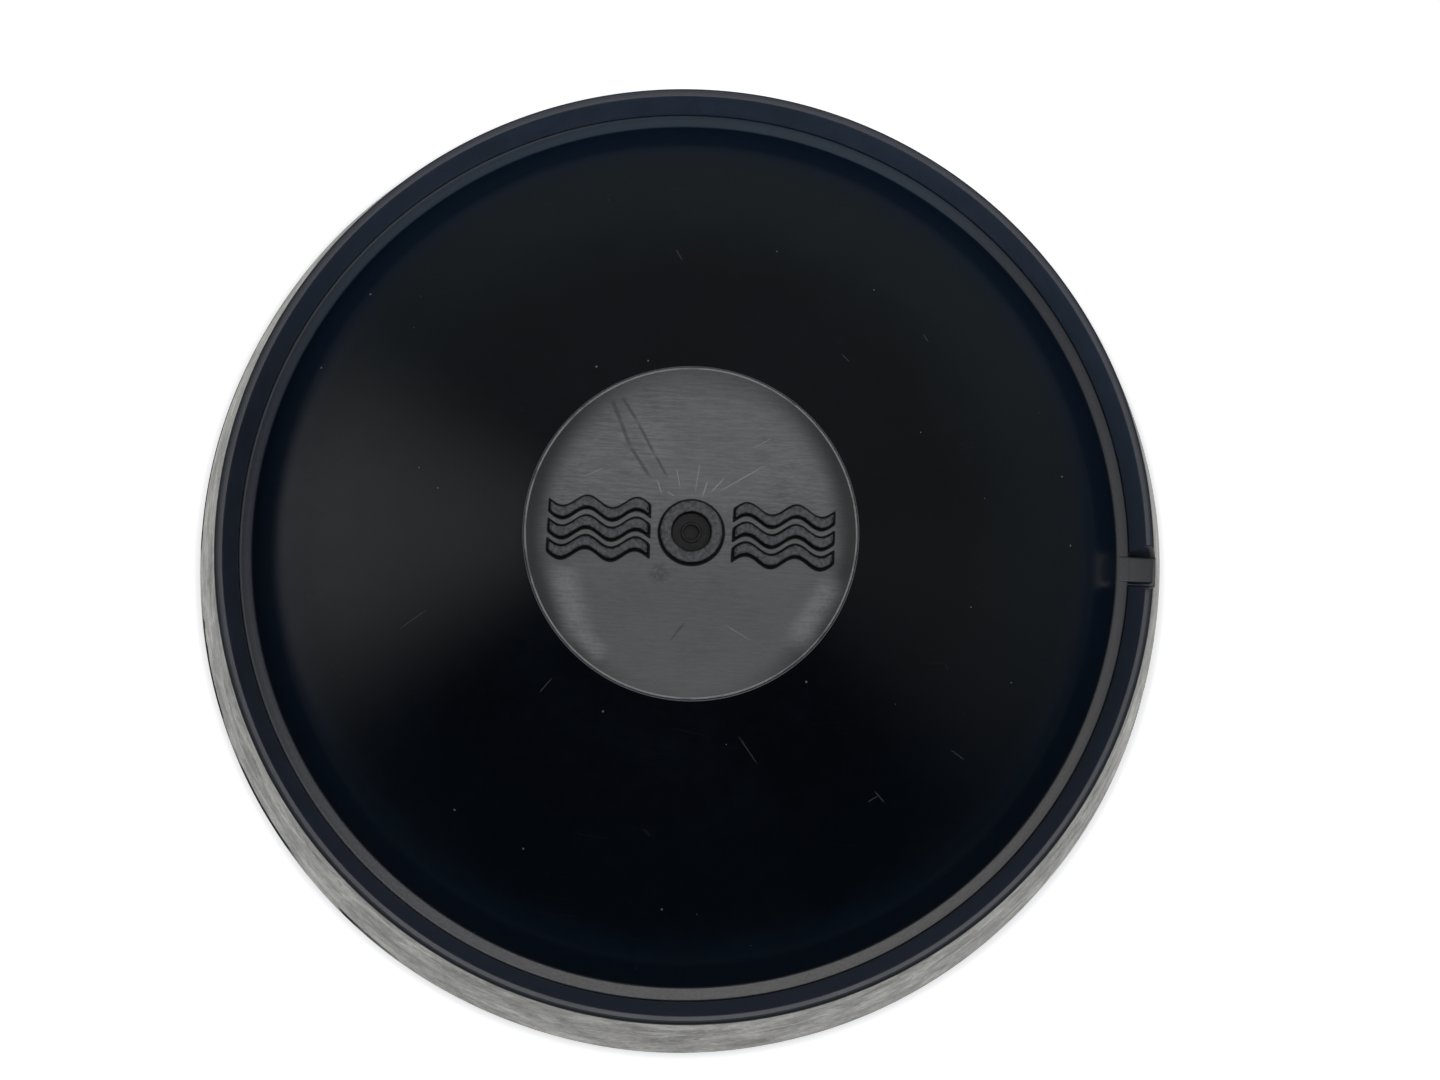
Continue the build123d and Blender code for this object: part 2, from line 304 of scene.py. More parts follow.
# ---------------------------------------------------------------------------
# Rubber cup: one moulding, lip, wall, ledge and notched rim
# ---------------------------------------------------------------------------
def cup_section():
    # r, z, corner radius: up the outside, over the rim, and down the inside
    rows = [
        (WALL_R0 - 0.5, 0.0, 0.25),
        (wall_r(0.5), 0.5, 0.3),
        (wall_r(RIM_EDGE_Z), RIM_EDGE_Z, 0.25),
        (RIM_FLAT_OUT, RIM_Z, 0.12),
        (RIM_FLAT_IN, RIM_Z, 0.14),
        (COLLAR_R, COLLAR_Z, 0.04),
        (COLLAR_R, SEAT_Z, 0),
        (LEDGE_IN_R, SEAT_Z, 0.2),
        (LEDGE_IN_R, LEDGE_Z, 0.2),
        (wall_r(LEDGE_Z) - WALL_T - 2.0, LEDGE_Z, 1.2),
        (wall_r(LEDGE_Z - 2.2) - WALL_T, LEDGE_Z - 2.2, 2.4),
        (wall_r(LIP_Z) - WALL_T, LIP_Z, 0.6),
        (LIP_IN_R, 1.7, 0.4),
        (LIP_IN_R, 0.5, 0.2),
        (LIP_IN_R + 0.5, 0.0, 0.15),
    ]
    return densify(rounded(rows, steps=5), 0.9)


def rim_outer_r(z):
    return np.interp(z, (0, RIM_EDGE_Z, RIM_Z), (WALL_R0, wall_r(RIM_EDGE_Z), RIM_FLAT_OUT))


def rim_inner_r(z):
    return np.interp(z, (COLLAR_Z, RIM_Z), (COLLAR_R, RIM_FLAT_IN))


def notch_clip(side):
    """Height at which the notch cuts the rim off, at a sideways distance from its middle."""
    z = max(SEAT_Z, RING_Z + (abs(side) - NOTCH_W / 2) / NOTCH_SLOPE)
    # small roll at the top corner of the rim
    roll_start, roll_width, roll_drop = -0.05, 0.27, 0.28
    over = abs(side) - NOTCH_TOP_W / 2
    if over > roll_start:
        share = min(1.0, (over - roll_start) / roll_width)
        z = min(z, RIM_Z - roll_drop * (1 - share) ** 2)
    return min(z, RIM_Z)


def foot_shift(angle, z):
    """The soft wall is not perfectly round: radial shift of the wall, growing to the foot."""
    low = max(0.0, (19.0 - z) / 19.0)
    dent = -0.30 * math.exp(-((math.degrees(angle) + 10) / 17.0) ** 2)
    # depth, waves per turn, phase
    waves = ((0.05, 3, 0.7), (0.045, 5, 2.1), (0.025, 11, 0.4))
    wavy = sum(depth * math.sin(turns * angle + phase) for depth, turns, phase in waves)
    return (dent + wavy) * low ** 1.4


def cup_column(angle, section):
    """One column of the cup; near the notch the rim is flattened down to the clip height."""
    cos, sin = math.cos(angle), math.sin(angle)
    side = sin * FLANGE_R
    near_notch = cos > 0 and abs(side) < NOTCH_TOP_W / 2 + 0.25
    cut = []
    if near_notch:
        clip = notch_clip(side)
        cut = [i for i, (r, z) in enumerate(section) if z > clip + 1e-6 and r > 51.5]
    if cut:
        inner, outer = rim_inner_r(clip), rim_outer_r(clip)
        last_share = 0.0 if clip > SEAT_Z + 0.02 else 0.02
    column = []
    for i, (r, z) in enumerate(section):
        new_r = r + foot_shift(angle, z) if r > 50 and z < 16 else r
        new_z = z
        if cut and cut[0] <= i <= cut[-1]:
            # spread from the outer to the inner edge of the cut
            share = 1.0 - (1.0 - last_share) * (i - cut[0]) / max(1, len(cut) - 1)
            new_r, new_z = inner + (outer - inner) * share, clip
        if near_notch and new_r > 51.5 and z > SEAT_Z - 0.5:
            # parallel sides: keep the sideways distance instead of the angle
            column.append((math.sqrt(new_r * new_r - side * side), side, new_z))
        else:
            column.append((new_r * cos, new_r * sin, new_z))
    return column


def screw_holes():
    """Pins for the clearance holes of the rim screws through the ledge."""
    verts, faces = [], []
    sides = range(HOLE_SIDES)
    for hole in range(HOLE_COUNT):
        turn = 2 * math.pi * hole / HOLE_COUNT
        x, y = HOLE_RING_R * math.cos(turn), HOLE_RING_R * math.sin(turn)
        low = len(verts)
        high = low + HOLE_SIDES
        for z in (LEDGE_Z - 0.6, SEAT_Z + 0.6):
            for q in sides:
                angle = 2 * math.pi * q / HOLE_SIDES
                verts.append((x + HOLE_R * math.cos(angle), y + HOLE_R * math.sin(angle), z))
        for q in sides:
            after = (q + 1) % HOLE_SIDES
            faces.append((low + q, low + after, high + after, high + q))
        faces.append(tuple(low + q for q in reversed(sides)))
        faces.append(tuple(high + q for q in sides))
    return mesh_object("screw_holes", verts, faces)


def build_cup():
    half_foot = NOTCH_W / 2 - NOTCH_SLOPE * (RING_Z - SEAT_Z)
    half_top = NOTCH_TOP_W / 2
    offsets = [0.0, 0.8, half_foot - 0.1, *np.linspace(half_foot, half_top, 12)]
    offsets += [half_top + e for e in (0.03, 0.07, 0.12, 0.17, 0.22, 0.5)]
    section = cup_section()
    columns = [cup_column(angle, section) for angle in column_angles(mirrored(offsets))]
    cup = ring_body("rubber_cup", columns, smooth_deg=40)
    boolean(cup, screw_holes(), "DIFFERENCE", smooth_deg=40)
    # the rubber is squashed in use: its material follows the resting shape, kept here in mm
    at_rest = np.empty(len(cup.data.vertices) * 3, "f")
    cup.data.vertices.foreach_get("co", at_rest)
    rest = cup.data.attributes.new("rest_mm", "FLOAT_VECTOR", "POINT")
    rest.data.foreach_set("vector", at_rest)
    return cup


# ---------------------------------------------------------------------------
# Crown disc: pressed-in cap, centre gate ring and raised water waves
# ---------------------------------------------------------------------------
def disc_section():
    # r, z, corner radius: from the middle of the gate out over the top and back underneath
    rows = [
        (0.0, 36.95, 0), (0.80, 36.95, 0), (0.80, 37.75, 0.07), (1.12, 37.75, 0.07),
        (1.15, 37.45, 0), (2.08, 37.45, 0.1),
        (2.12, RELIEF_TOP, 0.2), (3.36, RELIEF_TOP, 0.24),
        (GATE_RING_R, CROWN_Z, 0.06), (17.90, CROWN_Z, 0.09),
        (DISC_R, CROWN_Z - 0.10, 0.04), (DISC_R, 33.2, 0),
        (17.68, RECESS_Z, 0), (DISC_SKIRT_R, RECESS_Z, 0),
        (DISC_SKIRT_R, CROWN_Z - DISC_T, 0.4), (0.0, CROWN_Z - DISC_T, 0),
    ]
    return densify(rounded(rows, steps=5), 1.2, closed=False)


def wave_outline(side, row):
    """Outline of one wavy bar: lower side going out, upper side coming back, rounded ends."""
    start, end, corner = WAVE_START, WAVE_END, WAVE_CORNER
    ease = [corner * (1 - math.cos(w)) for w in np.linspace(0, math.pi / 2, 8)]
    xs = [start + e for e in ease]
    xs += list(np.linspace(start + corner, end - corner, 84))[1:-1]
    xs += [end - e for e in reversed(ease)]
    low, high = [], []
    for x in xs:
        middle = row + WAVE_AMP * math.sin(2 * math.pi * (x - start) / WAVE_PERIOD)
        gap = min(x - start, end - x)
        trim = 0.0
        if gap < corner:
            trim = corner - math.sqrt(max(0.0, corner ** 2 - (corner - gap) ** 2))
        low.append((side * x, middle - STROKE / 2 + trim))
        high.append((side * x, middle + STROKE / 2 - trim))
    return low + high[::-1]


def inset(points, distance):
    """Outline moved inwards by `distance`, or outwards if it is negative."""
    count = len(points)
    area = sum(points[i - 1][0] * points[i][1] - points[i][0] * points[i - 1][1]
               for i in range(count))
    distance = distance if area > 0 else -distance
    out = []
    for i in range(count):
        before, here, after = (np.array(points[j % count]) for j in (i - 1, i, i + 1))
        edge_in, edge_out = here - before, after - here
        normal_in = unit(np.array((-edge_in[1], edge_in[0])))
        normal_out = unit(np.array((-edge_out[1], edge_out[0])))
        middle = unit(normal_in + normal_out)
        out.append(tuple(here + middle * distance / max(0.5, float(middle @ normal_in))))
    return out


# levels of a bar from bottom to top: inset, z
BAR_LEVELS = (
    (-0.07, CROWN_Z - 0.25), (-0.07, CROWN_Z - 0.01), (-0.015, CROWN_Z + 0.05),
    (0.0, CROWN_Z + 0.16), (0.04, 38.50), (0.06, 38.585), (0.10, 38.66),
    (0.16, 38.715), (0.23, 38.744), (0.27, RELIEF_TOP),
)


def wave_bar(side, row):
    outline = wave_outline(side, row)
    count = len(outline)
    verts = [(x, y, z) for distance, z in BAR_LEVELS for x, y in inset(outline, distance)]
    lid = (len(BAR_LEVELS) - 1) * count
    faces = []
    for low in range(0, lid, count):
        for i in range(count):
            k = (i + 1) % count
            faces.append((low + i, low + k, low + count + k, low + count + i))
    for i in range(count // 2 - 1):
        faces.append((lid + i, lid + i + 1, lid + count - 2 - i, lid + count - 1 - i))
        faces.append((i, count - 1 - i, count - 2 - i, i + 1))
    return mesh_object("wave_bar", verts, faces)


def build_cap():
    section = [(float(r), float(z)) for r, z in disc_section()]
    cap = turned_solid("crown_cap", section, count=240)
    for side in (-1, 1):
        for row in WAVE_ROWS:
            boolean(cap, wave_bar(side, row), "UNION", smooth_deg=30)
    return cap


# ---------------------------------------------------------------------------
# Node helpers
# ---------------------------------------------------------------------------
class Value:
    """A node output. Arithmetic and the methods below add nodes to its tree."""

    def __init__(self, tree, socket):
        self.tree, self.socket = tree, socket

    def math(self, operation, other=None):
        return self.tree.math(operation, self, other)

    def __add__(self, other):
        return self.math("ADD", other)

    def __sub__(self, other):
        return self.math("SUBTRACT", other)

    def __rsub__(self, other):
        return self.tree.math("SUBTRACT", other, self)

    def __mul__(self, other):
        return self.math("MULTIPLY", other)

    def __abs__(self):
        return self.math("ABSOLUTE")

    def at_least(self, other):
        return self.math("MAXIMUM", other)

    def at_most(self, other):
        return self.math("MINIMUM", other)

    def remap(self, kind, start, end, first, last):
        return self.tree.value("ShaderNodeMapRange", {0: self, 1: start, 2: end, 3: first, 4: last},
                               interpolation_type=kind)

    def step(self, start, end, first=0.0, last=1.0):
        """Smooth step from `first` at `start` to `last` at `end`."""
        return self.remap("SMOOTHSTEP", start, end, first, last)

    def ramp(self, first=0.0, last=1.0, start=0.3, end=0.7):
        """Straight ramp; the default range is the usual spread of a noise."""
        return self.remap("LINEAR", start, end, first, last)

    def mix(self, off, on):
        """Colour `off` where this mask is 0, `on` where it is 1."""
        return self.tree.value("ShaderNodeMix", {0: self, 6: off, 7: on}, out=2, data_type="RGBA")

    def lerp(self, off, on):
        """Number `off` where this mask is 0, `on` where it is 1."""
        return self.tree.value("ShaderNodeMix", {0: self, 2: off, 3: on}, data_type="FLOAT")

    def tint(self, mask, to, amount=None):
        """This colour turned to another one under a mask."""
        return (mask if amount is None else mask * amount).mix(off=self, on=to)

    def scaled(self, x, y, z, turn=0.0):
        """Vector stretched for an uneven texture, turned about Z by `turn` radians."""
        return self.tree.value("ShaderNodeMapping", {
            "Vector": self, "Scale": (x, y, z), "Rotation": (0, 0, turn)})

    def noise(self, scale, detail=4.0, rough=0.5, warp=0.0):
        return self.tree.value("ShaderNodeTexNoise", {
            "Vector": self, "Scale": scale, "Detail": detail, "Roughness": rough,
            "Distortion": warp})

    def voronoi(self, scale, feature="F1"):
        return self.tree.value("ShaderNodeTexVoronoi", {"Vector": self, "Scale": scale},
                               out="Distance", feature=feature)

    def spot(self, centre, size):
        """Mask of a round spot on the surface, centre and radius in mm."""
        away = self.tree.value("ShaderNodeVectorMath", {0: self, 1: centre}, out="Value",
                               operation="DISTANCE")
        return away.step(start=size * 1.3, end=size * 0.7)

    def bump(self, strength, depth, normal=None):
        """Normal from this height; depth in mm."""
        return self.tree.value("ShaderNodeBump", {
            "Strength": strength, "Distance": depth * 0.001, "Height": self, "Normal": normal})


class Tree:
    """Empties the node tree of a material or world and adds nodes to it."""

    def __init__(self, owner):
        owner.use_nodes = True
        self.tree = owner.node_tree
        self.tree.nodes.clear()

    def put(self, socket, value):
        if isinstance(value, Value):
            self.tree.links.new(value.socket, socket)
        elif isinstance(value, tuple) and socket.type == "RGBA":
            socket.default_value = (*value, 1.0)
        elif value is not None:
            socket.default_value = value

    def node(self, kind, inputs=None, **settings):
        node = self.tree.nodes.new(kind)
        for key, setting in settings.items():
            setattr(node, key, setting)
        for key, value in (inputs or {}).items():
            self.put(node.inputs[key], value)
        return node

    def value(self, kind, inputs=None, out=0, **settings):
        return Value(self, self.node(kind, inputs, **settings).outputs[out])

    def math(self, operation, one, other):
        return self.value("ShaderNodeMath", {0: one, 1: other}, operation=operation)

    def point_mm(self):
        """Object coordinates in millimetres."""
        point = self.value("ShaderNodeTexCoord", out="Object")
        return self.value("ShaderNodeVectorMath", {0: point, "Scale": 1000.0}, operation="SCALE")

    def xyz(self, vector):
        node = self.node("ShaderNodeSeparateXYZ", {0: vector})
        return [Value(self, node.outputs[i]) for i in range(3)]


def grey(level):
    return (level, level, level)


def hypot(x, y):
    return (x * x + y * y).math("SQRT")


def most(masks):
    """The largest of several masks."""
    out = masks[0]
    for mask in masks[1:]:
        out = out.at_least(mask)
    return out


def stroke(x, y, row, soft):
    """Mask of a straight mark, fading at both ends. Row: start x, y, end x, y, half width."""
    start_x, start_y, end_x, end_y, width = row
    length = math.hypot(end_x - start_x, end_y - start_y)
    dir_x, dir_y = (end_x - start_x) / length, (end_y - start_y) / length
    along = x * dir_x + y * dir_y - (start_x * dir_x + start_y * dir_y)
    off = abs(y * dir_x - x * dir_y - (start_y * dir_x - start_x * dir_y))
    across = off.step(start=width * (1 - soft), end=width * (1 + soft), first=1.0, last=0.0)
    head = along.step(start=-0.05 * length, end=0.25 * length)
    tail = along.step(start=0.75 * length, end=1.05 * length, first=1.0, last=0.0)
    return across * (head * tail)


def strokes(x, y, rows, soft=0.5):
    return most([stroke(x, y, row, soft) for row in rows])


def make_material(name, shade):
    """Principled material; `shade` returns the values of its inputs."""
    material = bpy.data.materials.new(name)
    tree = Tree(material)
    shader = tree.value("ShaderNodeBsdfPrincipled", shade(tree))
    tree.node("ShaderNodeOutputMaterial", {0: shader})
    return material


def paint(ob, material):
    ob.data.materials.clear()
    ob.data.materials.append(material)


# ---------------------------------------------------------------------------
# Gloss black dome
# ---------------------------------------------------------------------------
# bright specks: x, y, radius in mm
DOME_SPECKS = (
    (-37.8, 27.3, 0.13), (-42.9, 18.5, 0.11), (42.4, 9.7, 0.11), (43.6, 1.8, 0.10),
    (-11.1, 17.8, 0.12), (-5.5, 18.6, 0.10), (13.1, -15.5, 0.12), (-8.6, -19.6, 0.12),
    (-24.6, -31.0, 0.11), (8.4, 33.1, 0.09), (31.5, -6.2, 0.09), (-30.2, 6.4, 0.08),
    (-27.9, 4.1, 0.09), (19.6, 29.4, 0.08), (-16.8, -34.9, 0.10), (36.9, -14.2, 0.09),
    (-1.2, -41.0, 0.11), (25.0, 12.8, 0.08),
)
# short scratches: start x, y, end x, y, half width in mm
DOME_MARKS = (
    (21.6, -26.9, 22.9, -28.2, 0.06), (20.9, -28.2, 22.1, -27.4, 0.05),
    (6.0, -21.5, 8.4, -24.6, 0.05), (-14.2, -16.2, -15.6, -17.9, 0.05),
    (15.8, 21.0, 16.8, 20.1, 0.05), (25.3, 24.6, 26.0, 23.7, 0.06),
    (-3.0, 32.6, -2.2, 31.2, 0.06), (-28.4, -9.2, -31.5, -11.4, 0.05),
    (30.1, -22.0, 31.9, -23.1, 0.06),
)


def dome_shade(tree):
    point = tree.point_mm()
    x, y, z = tree.xyz(point)
    radius = hypot(x, y)

    def upper():
        """Mask of everything above the underside of the flange."""
        return z.step(start=18.0, end=18.3)

    ring = radius.step(start=49.95, end=50.35) * upper()
    haze = point.noise(scale=0.05, rough=0.6, warp=0.6)
    grain = point.noise(scale=3.2, detail=3.0, rough=0.6)
    mottle = point.noise(scale=0.55, rough=0.7, warp=0.3)

    # dust specks, scattered ones and placed ones
    speck = point.voronoi(scale=0.34).step(start=0.028, end=0.012)
    speck = speck * point.noise(scale=0.23, detail=1.0).step(start=0.53, end=0.62)
    for speck_x, speck_y, size in DOME_SPECKS:
        near = hypot(x - speck_x, y - speck_y)
        speck = speck.at_least(near.step(start=size * 1.3, end=size * 0.6))
    hair = point.scaled(x=0.045, y=1.4, z=0.2, turn=0.5).voronoi(1.0, "DISTANCE_TO_EDGE")
    hair = (hair.step(start=0.012, end=0.0)
            * point.noise(scale=0.12, detail=2.0).step(start=0.58, end=0.72))
    marks = strokes(x, y, DOME_MARKS)

    base = (haze * 0.6 + mottle * 0.4).step(start=0.35, end=0.65).mix(
        off=(0.0001, 0.0008, 0.0022), on=(0.0007, 0.0021, 0.0046))

    # flat ring round the foot of the slope: painted light, paler and grey towards the front right
    # where the light falls, blue black away from it
    light_side_ramp = (x * 0.5 - y * 0.87).ramp(start=-46.0, end=46.0)
    ring_tone = light_side_ramp.mix(off=(0.0010, 0.0110, 0.0340), on=(0.0450, 0.0440, 0.0450))
    ring_tone = ring_tone.tint(point.noise(scale=0.9, rough=0.7).step(start=0.35, end=0.70),
                               to=(0.050, 0.050, 0.054), amount=0.24)
    ring_tone = ring_tone.tint(grain.step(start=0.35, end=0.70),
                               to=(0.006, 0.008, 0.012), amount=0.25)
    # painted light: bluer towards the back
    ring_tone = ring_tone.tint(y.step(start=5.0, end=46.0) * x.step(start=46.0, end=20.0),
                               to=(0.012, 0.036, 0.066))
    base = base.tint(ring, to=ring_tone)

    # lower slope: a wide band and a narrow foot with wandering edges, painted reflection and light,
    # paler at the back where the light falls
    wander = (point.noise(scale=0.16, rough=0.65) - 0.5) * 2.6
    foot = (radius + wander).step(start=42.5, end=47.6) * upper()
    band = (radius + wander * 2.0).step(start=28.0, end=41.0) * upper()
    lit = (y + x * 0.35).step(start=-20.0, end=46.0)
    band_tone = lit.mix(off=(0.0004, 0.0020, 0.0050), on=(0.0090, 0.0160, 0.0180))
    base = base.tint(band, to=band_tone, amount=1.0 - ring)
    foot_tone = lit.mix(off=(0.0022, 0.0080, 0.0185), on=(0.0042, 0.0138, 0.0330))
    foot_tone = foot_tone.tint(mottle.step(start=0.40, end=0.62),
                               to=(0.004, 0.013, 0.024), amount=0.30)
    base = base.tint(foot, to=foot_tone, amount=1.0 - ring)

    # dark line where the tab leaves the flange; painted highlight along the flange edge on the
    # left, where the rounded edge faces the window
    seam = abs(radius - FLANGE_R).step(start=0.10, end=0.03) * upper()
    at_tab = x.step(start=50.0, end=50.2) * abs(y).step(start=1.6, end=1.5)
    base = base.tint(seam * at_tab, to=(0.006, 0.006, 0.007), amount=0.8)
    left_flange_highlight = radius.step(start=51.42, end=51.60) * upper() * x.step(start=8.0, end=-30.0)
    base = base.tint(left_flange_highlight, to=(0.115, 0.118, 0.125), amount=0.8)
    base = base.tint(marks, to=(0.10, 0.10, 0.105), amount=0.6)
    base = base.tint(speck, to=grey(0.28), amount=0.75)
    base = base.tint(hair, to=grey(0.05), amount=0.25)

    rough = haze.ramp(first=0.18, last=0.25) + mottle.ramp(first=-0.015, last=0.035)
    rough = rough + (radius + wander).step(start=39.0, end=47.5, last=0.10)
    rough = ring.lerp(off=rough, on=grain.ramp(first=0.27, last=0.35))
    height = haze * 0.5 + grain * ring.lerp(off=0.05, on=0.35) - marks * 0.5
    return {
        "Base Color": base,
        "Roughness": rough + (marks + speck) * 0.25,
        "IOR": 1.5,
        "Specular IOR Level": ring.lerp(off=0.5, on=light_side_ramp.lerp(off=0.36, on=0.50)),
        "Normal": height.bump(strength=0.35, depth=0.06),
    }


# ---------------------------------------------------------------------------
# Satin black rubber
# ---------------------------------------------------------------------------
# dark spots low on the left of the wall: x, y, z, radius in mm
CUP_DOTS = (
    (-59.4, 0.6, 1.8, 1.1), (-59.4, -0.4, 1.4, 0.9), (-58.3, -10.4, 3.0, 0.6),
    (-57.6, -13.4, 2.6, 0.7), (-57.4, -14.2, 2.2, 0.6), (-45.2, 38.4, 2.0, 0.6),
)


def rubber_shade(tree):
    point = tree.value("ShaderNodeAttribute", out="Vector", attribute_name="rest_mm")
    x, y, z = tree.xyz(point)
    radius = hypot(x, y)
    blot = point.noise(scale=0.07, detail=5.0, rough=0.62, warp=0.8)
    grain = point.noise(scale=2.6, rough=0.65)
    streak = point.scaled(x=0.12, y=0.12, z=0.30).noise(1.0, detail=5.0, rough=0.65, warp=0.4)
    dust = point.noise(scale=0.9, detail=3.0, rough=0.7).step(start=0.66, end=0.74)
    outer = (radius + z * FLARE).step(start=WALL_R0 - 0.9, end=WALL_R0 - 0.6)
    outer = outer * z.step(start=21.5, end=21.2)

    # the notched slope and seat: blue black with faint bloom; painted light, paler towards the back
    # where the light falls and darker on the left
    front_shaded_tone = blot.mix(off=(0.050, 0.064, 0.094), on=(0.064, 0.080, 0.118))
    back_lit_tone = blot.mix(off=(0.092, 0.132, 0.200), on=(0.122, 0.165, 0.240))
    front_shaded_tone = front_shaded_tone.tint(x.step(start=-30.0, end=-50.0, last=0.45), to=(0.024, 0.032, 0.046))
    base = (y + x * 0.2).step(start=-8.0, end=52.0).mix(off=front_shaded_tone, on=back_lit_tone)
    bloom = point.noise(scale=0.34, detail=5.0, rough=0.68, warp=0.4)
    bloom_tone = point.noise(scale=0.11, detail=2.0).mix(
        off=(0.048, 0.090, 0.112), on=(0.086, 0.094, 0.150))
    base = base.tint(bloom.step(start=0.34, end=0.66, last=0.45), to=bloom_tone)

    # everything below the seat is plain black rubber with a little mould bloom
    topside = z.step(start=16.0, end=16.3) * radius.step(start=50.5, end=51.5)
    inside = bloom.step(start=0.34, end=0.68).mix(
        off=(0.018, 0.019, 0.021), on=(0.040, 0.041, 0.043))
    inside = inside.tint(blot.step(start=0.42, end=0.66, last=0.55), to=grey(0.060))
    base = topside.mix(off=inside, on=base)

    # flat top of the rim, and painted shade on the rounded roll outside it, where the edge reflects
    # the dark room
    flat = z.step(start=21.93, end=21.97) * radius.step(start=54.5, end=54.2)
    flat_tone = bloom.mix(off=(0.060, 0.062, 0.076), on=(0.080, 0.081, 0.094))
    base = base.tint(flat, to=flat_tone, amount=0.85)
    rim_roll_shade = radius.step(start=53.76, end=53.90) * z.step(start=21.25, end=21.42)
    base = base.tint(rim_roll_shade, to=(0.004, 0.006, 0.010), amount=0.93)

    # outer wall: chalky bloom wiped about in soft patches, and painted light making it paler
    # towards the top
    patch = point.scaled(x=0.16, y=0.16, z=0.22).noise(1.0, detail=5.0, rough=0.62, warp=0.8)
    fleck = point.noise(scale=1.25, rough=0.72)
    wall = streak.step(start=0.30, end=0.70).mix(
        off=(0.062, 0.062, 0.058), on=(0.112, 0.111, 0.104))
    wall = wall.tint(patch.step(start=0.34, end=0.66, last=0.55), to=(0.046, 0.046, 0.044))
    wall = wall.tint(fleck.step(start=0.52, end=0.70, last=0.35), to=(0.17, 0.168, 0.158))
    # painted light: paler towards the top of the wall
    wall = wall.tint((z + patch * 4.0).step(start=16.5, end=22.5, last=0.50),
                     to=(0.20, 0.197, 0.185))
    base = base.tint(outer, to=wall)

    # painted contact shadow: broken dark line along the gap where the foot meets the floor on the
    # far left
    contact_shadow_line = z.step(start=2.9, end=2.4) * z.step(start=0.7, end=1.1)
    contact_shadow_line = contact_shadow_line * (x.step(start=-30.0, end=-40.0)
                   * point.noise(scale=0.085, detail=2.0).step(start=0.36, end=0.44))
    contact_shadow_line = contact_shadow_line * abs(y + 5.0).step(start=3.5, end=6.5)
    base = base.tint(contact_shadow_line, to=(0.010, 0.011, 0.013), amount=outer * 0.92)
    # painted contact shade along the bottom edge of the foot on the left
    foot_contact_shade = z.step(start=0.45, end=0.2) * (outer * x.step(start=-30.0, end=0.0))
    base = base.tint(foot_contact_shade, to=(0.03, 0.03, 0.032), amount=0.45)
    dots = most([point.spot(centre=tuple(centre), size=size) for *centre, size in CUP_DOTS])
    base = base.tint(dots, to=(0.012, 0.013, 0.016), amount=outer * 0.93)
    base = base.tint(dust, to=grey(0.16), amount=0.18)
    # small dark nicks
    nick = point.scaled(x=0.16, y=0.16, z=0.5).voronoi(1.0).step(start=0.10, end=0.05)
    nick = nick * point.noise(scale=0.05, detail=1.0).step(start=0.56, end=0.62)
    base = base.tint(nick, to=(0.004, 0.004, 0.005), amount=outer * 0.8)

    chalk = (patch.ramp(start=0.34, end=0.68, first=0.30, last=0.50)
             + fleck.ramp(start=0.35, end=0.70, first=0.07, last=-0.07)
             + streak.ramp(start=0.35, end=0.70, first=0.04, last=-0.04))
    rough = outer.lerp(off=blot.ramp(first=0.33, last=0.42), on=chalk)
    # dark dots and nicks, and the painted contact shadow line
    grime_and_contact_shadow = most([contact_shadow_line, dots, nick]) * outer
    fine_height = grain * 0.45 + blot * 0.9 - nick * 0.6
    wavy_height = (patch * 0.12 + fleck * 0.009) * outer
    fine_normal = fine_height.bump(strength=0.3, depth=0.08)
    return {
        "Base Color": base,
        "Roughness": grime_and_contact_shadow.lerp(off=rough, on=1.0),
        "IOR": 1.5,
        "Specular IOR Level": grime_and_contact_shadow.lerp(off=0.5, on=0.02),
        "Normal": wavy_height.bump(strength=1.0, depth=1.0, normal=fine_normal),
    }


# ---------------------------------------------------------------------------
# Crown disc: brushed, worn satin plastic
# ---------------------------------------------------------------------------
# marks on the disc: start x, y, end x, y, half width in mm
DISC_WORN = (
    (-13.9, -3.8, -11.2, -12.6, 1.25), (-12.4, -10.4, -8.6, -14.0, 0.8),
    (15.9, -3.9, 11.4, -12.2, 1.15),
)
DISC_RUNS = (
    (-9.3, 14.2, -8.0, 11.4, 0.22), (-8.3, 12.0, -7.0, 9.0, 0.20),
    (-7.2, 9.3, -4.6, 5.6, 0.18), (-8.3, 14.6, -6.2, 11.6, 0.16),
    (-6.5, 12.0, -4.2, 8.0, 0.16), (-4.4, 8.4, -2.8, 5.8, 0.14),
    (-0.2, -9.6, -1.8, -11.8, 0.10),
)
DISC_PALE = ((-8.8, 14.4, -7.2, 11.0, 0.35), (-7.5, 11.4, -3.6, 5.8, 0.42))
DISC_SCRATCHES = (
    (-3.9, 5.5, -3.4, 4.0, 0.060), (-2.8, 4.3, -2.0, 3.8, 0.05),
    (1.5, 5.6, 1.0, 3.8, 0.065), (1.9, 4.4, 3.3, 6.0, 0.060),
    (2.6, 4.4, 7.8, 7.7, 0.050), (-1.4, 4.6, -1.9, 6.9, 0.045),
    (0.2, 4.2, 0.6, 7.6, 0.045), (6.2, 9.4, 8.4, 10.7, 0.03),
    (-12.0, 5.4, -9.6, 6.6, 0.03), (4.0, -9.8, 6.9, -11.4, 0.03),
)


def relief_distance(x, y, radius):
    """Distance on the plate to the nearest wavy bar or to the edge of the gate ring."""
    side = abs(x)
    wave = ((side - WAVE_START) * (2 * math.pi / WAVE_PERIOD)).math("SINE") * WAVE_AMP
    straight = y - wave
    low, middle, high = [abs(straight - row) for row in WAVE_ROWS]
    across = low.at_most(middle).at_most(high) - STROKE / 2
    ends = (WAVE_START - side).at_least(side - WAVE_END)
    to_bar = hypot(across.at_least(0.0), ends.at_least(0.0))
    return to_bar.at_most(abs(radius - GATE_RING_R))


